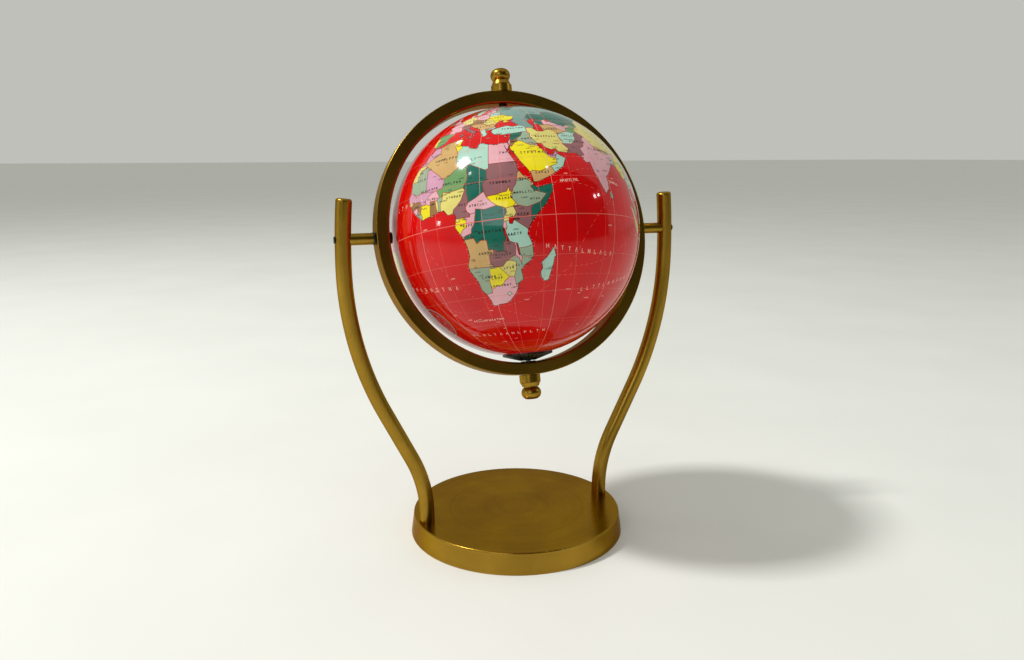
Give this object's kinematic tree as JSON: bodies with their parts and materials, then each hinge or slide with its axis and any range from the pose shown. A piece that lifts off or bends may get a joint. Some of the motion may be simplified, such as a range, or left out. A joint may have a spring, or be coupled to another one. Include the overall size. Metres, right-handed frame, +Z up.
{
  "type": "desktop globe on stand",
  "caption": "Desk globe in a full tilting hoop with turned finials, held between two bent rod arms on a round weighted base.",
  "frame": {"origin": "centre of the underside of the base, on the surface the globe stands on", "axes": "+Z up; X along the two pivot screws; the front of the globe faces -Y, the north pole leans back towards +Y"},
  "size_m": [0.2234, 0.1524, 0.2943],
  "materials": {
    "antique_brass": "satin antiqued lacquer",
    "ballast_iron": "as cast",
    "black_felt": "felt",
    "zinc_steel": "zinc plated",
    "black_steel": "black oxide",
    "black_nylon": "satin",
    "moulded_shell": "moulded",
    "shell_board": "plain board",
    "lacquered_map_paper": "printed in many colours under clear gloss lacquer",
    "black_cap_plastic": "semi gloss"
  },
  "bodies": {
    "stand": {"base_cover": "antique_brass", "base_weight": "ballast_iron", "base_felt": "black_felt", "base_screws": "zinc_steel", "base_washers": "zinc_steel", "right_arm": "antique_brass", "left_arm": "antique_brass", "right_pivot_sleeve": "antique_brass", "left_pivot_sleeve": "antique_brass", "right_pivot_screw": "black_steel", "left_pivot_screw": "black_steel", "pivot_washers": "black_nylon"},
    "hoop": {"meridian_ring": "antique_brass", "polar_rod": "zinc_steel", "north_finial": "antique_brass", "south_finial": "antique_brass", "north_spacer": "black_nylon", "south_thrust_washer": "black_nylon"},
    "globe": {"globe_north_shell": "moulded_shell", "globe_south_shell": "moulded_shell", "globe_joint_band": "shell_board", "globe_map_paper": "lacquered_map_paper", "north_pole_bush": "antique_brass", "south_pole_bush": "antique_brass", "south_cap": "black_cap_plastic"}
  },
  "joints": [
    {"name": "hoop_tilt", "type": "hinge", "parent": "stand", "child": "hoop", "pos_m": [0, 0, 0.1941], "axis": [1, 0, 0], "continuous": true},
    {"name": "globe_spin", "type": "hinge", "parent": "hoop", "child": "globe", "pos_m": [0, 0, 0.1941], "axis": [0, 0.2588, 0.9659], "continuous": true}
  ]
}
